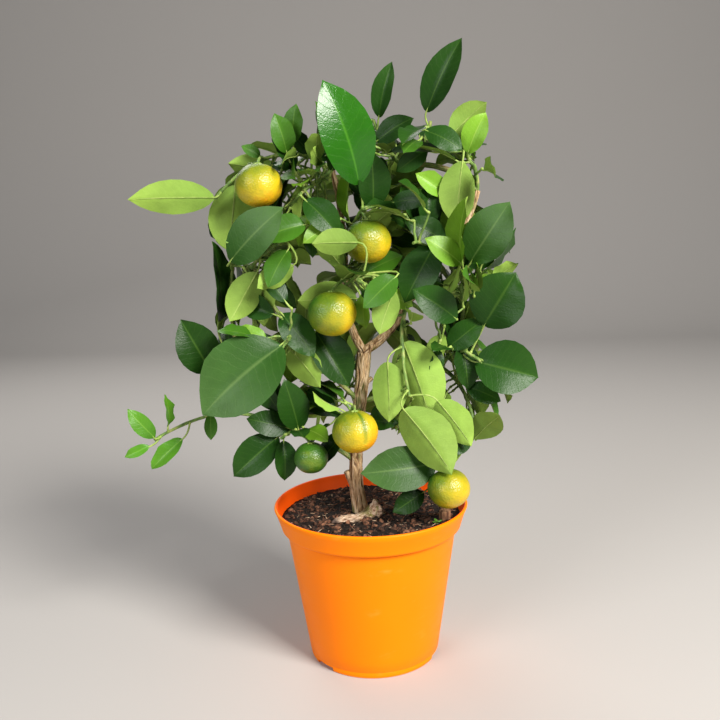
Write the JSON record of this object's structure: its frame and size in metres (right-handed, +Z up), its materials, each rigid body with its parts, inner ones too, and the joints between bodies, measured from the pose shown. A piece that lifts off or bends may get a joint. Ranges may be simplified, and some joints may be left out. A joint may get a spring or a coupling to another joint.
{
  "type": "potted citrus tree",
  "caption": "Small fan-trained orange tree with round fruit, glossy leaves and a furrowed trunk, in a round orange nursery pot.",
  "frame": {"origin": "middle of the pot's flat underside", "axes": "+Z up along the tree, +X to the right and -Y to the front, the side the fan of boughs is trained to"},
  "size_m": [0.3091, 0.15, 0.4584],
  "materials": {
    "pot": "satin moulded",
    "soil": "loose bark compost",
    "chip": "raw broken",
    "bark": "furrowed bark",
    "foliage": "glossy leaf"
  },
  "bodies": {
    "root": {"pot": "pot", "soil": "soil", "bark_chip": "chip", "trunk": "bark", "bough_low_left": "bark", "bough_outer_left": "bark", "bough_high_left": "bark", "bough_mid_left": "bark", "bough_upper_left": "bark", "bough_inner_left": "bark", "bough_top_left": "bark", "bough_inner_right": "bark", "bough_mid_right": "bark", "bough_top_right": "bark", "bough_top_middle": "bark", "bough_outer_right": "bark", "bough_high_right": "bark", "top_left": "foliage", "upper_centre": "foliage", "crown_centre": "foliage", "centre": "foliage", "top_right": "foliage", "top_back": "foliage", "top_corner": "foliage", "right_upper": "foliage", "right_lower": "foliage", "centre_right": "foliage", "mid_right": "foliage", "low_right": "foliage", "foot_right": "foliage", "low_left": "foliage", "low_centre": "foliage", "left_lower": "foliage", "left_mid": "foliage", "left_upper": "foliage", "left_top": "foliage", "sprig_left": "foliage", "back_top_left": "foliage", "back_top_right": "foliage", "back_left": "foliage", "back_centre": "foliage", "back_right": "foliage", "back_low_right": "foliage", "back_low_left": "foliage"}
  },
  "joints": []
}
